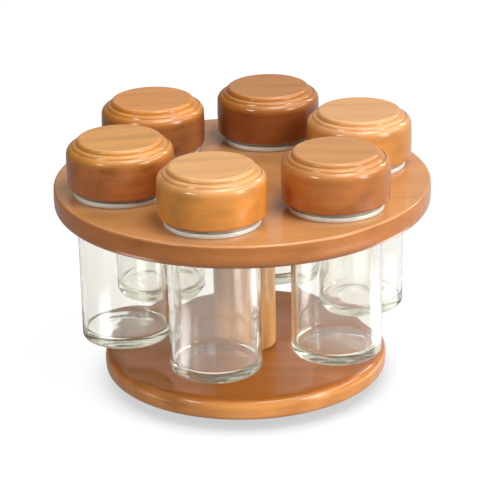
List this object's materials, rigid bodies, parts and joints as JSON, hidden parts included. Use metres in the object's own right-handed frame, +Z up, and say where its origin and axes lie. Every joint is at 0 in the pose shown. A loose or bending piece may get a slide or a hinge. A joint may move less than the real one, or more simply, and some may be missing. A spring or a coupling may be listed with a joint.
{
  "type": "rotating spice rack",
  "caption": "Round wooden countertop rack that turns on a ball bearing and holds hanging glass spice jars with turned wooden lids.",
  "frame": {"origin": "centre of the surface that the foot pads stand on, on the axis of rotation", "axes": "+Z up along the axis of rotation; -Y towards the front, where jar_1 hangs; jars run anticlockwise seen from above"},
  "size_m": [0.19, 0.19, 0.1356],
  "materials": {
    "pad_rubber": "matt",
    "foot_wood": "dark stained board, sealed",
    "rivet_steel": "bright zinc",
    "race_steel": "zinc-plated pressed sheet",
    "pivot_brass": "turned",
    "ball_steel": "polished",
    "cage_plastic": "natural nylon",
    "screw_steel": "yellow zinc",
    "disc_wood": "semi-gloss lacquer over turned hardwood",
    "post_wood": "semi-gloss lacquer over turned hardwood",
    "jar_glass": "clear, polished",
    "seal_plastic": "translucent soft plastic",
    "lid_1_wood": "semi-gloss lacquer over turned hardwood",
    "lid_2_wood": "semi-gloss lacquer over turned hardwood",
    "lid_3_wood": "semi-gloss lacquer over turned hardwood",
    "lid_4_wood": "semi-gloss lacquer over turned hardwood",
    "lid_5_wood": "semi-gloss lacquer over turned hardwood",
    "lid_6_wood": "semi-gloss lacquer over turned hardwood"
  },
  "bodies": {
    "foot": {"foot_pads": "pad_rubber", "foot_plate": "foot_wood", "foot_rivets": "rivet_steel", "lower_race_plate": "race_steel", "centre_pivot": "pivot_brass"},
    "cage": {"bearing_balls": "ball_steel", "ball_cage": "cage_plastic"},
    "rack": {"upper_race_plate": "race_steel", "turntable_screws": "screw_steel", "base_disc": "disc_wood", "post_screws": "screw_steel", "post": "post_wood", "jar_disc": "disc_wood"},
    "jar_1": {"jar_1": "jar_glass"},
    "jar_2": {"jar_2": "jar_glass"},
    "jar_3": {"jar_3": "jar_glass"},
    "jar_4": {"jar_4": "jar_glass"},
    "jar_5": {"jar_5": "jar_glass"},
    "jar_6": {"jar_6": "jar_glass"},
    "lid_1": {"lid_1": "lid_1_wood", "lid_seal_1": "seal_plastic"},
    "lid_2": {"lid_2": "lid_2_wood", "lid_seal_2": "seal_plastic"},
    "lid_3": {"lid_3": "lid_3_wood", "lid_seal_3": "seal_plastic"},
    "lid_4": {"lid_4": "lid_4_wood", "lid_seal_4": "seal_plastic"},
    "lid_5": {"lid_5": "lid_5_wood", "lid_seal_5": "seal_plastic"},
    "lid_6": {"lid_6": "lid_6_wood", "lid_seal_6": "seal_plastic"}
  },
  "joints": [
    {"name": "rack_spin", "type": "hinge", "parent": "foot", "child": "rack", "pos_m": [0, 0, 0.008], "axis": [0, 0, 1], "continuous": true},
    {"name": "cage_spin", "type": "hinge", "parent": "foot", "child": "cage", "pos_m": [0, 0, 0.008], "axis": [0, 0, 1], "continuous": true},
    {"name": "jar_1_lift", "type": "slide", "parent": "rack", "child": "jar_1", "axis": [0, 0, 1], "range_m": [0, 0.11]},
    {"name": "jar_2_lift", "type": "slide", "parent": "rack", "child": "jar_2", "axis": [0, 0, 1], "range_m": [0, 0.11]},
    {"name": "jar_3_lift", "type": "slide", "parent": "rack", "child": "jar_3", "axis": [0, 0, 1], "range_m": [0, 0.11]},
    {"name": "jar_4_lift", "type": "slide", "parent": "rack", "child": "jar_4", "axis": [0, 0, 1], "range_m": [0, 0.11]},
    {"name": "jar_5_lift", "type": "slide", "parent": "rack", "child": "jar_5", "axis": [0, 0, 1], "range_m": [0, 0.11]},
    {"name": "jar_6_lift", "type": "slide", "parent": "rack", "child": "jar_6", "axis": [0, 0, 1], "range_m": [0, 0.11]},
    {"name": "lid_1_lift", "type": "slide", "parent": "jar_1", "child": "lid_1", "axis": [0, 0, 1], "range_m": [0, 0.04]},
    {"name": "lid_2_lift", "type": "slide", "parent": "jar_2", "child": "lid_2", "axis": [0, 0, 1], "range_m": [0, 0.04]},
    {"name": "lid_3_lift", "type": "slide", "parent": "jar_3", "child": "lid_3", "axis": [0, 0, 1], "range_m": [0, 0.04]},
    {"name": "lid_4_lift", "type": "slide", "parent": "jar_4", "child": "lid_4", "axis": [0, 0, 1], "range_m": [0, 0.04]},
    {"name": "lid_5_lift", "type": "slide", "parent": "jar_5", "child": "lid_5", "axis": [0, 0, 1], "range_m": [0, 0.04]},
    {"name": "lid_6_lift", "type": "slide", "parent": "jar_6", "child": "lid_6", "axis": [0, 0, 1], "range_m": [0, 0.04]}
  ],
  "couplings": [
    {"joint": "cage_spin", "follows": "rack_spin", "ratio": 0.5}
  ]
}
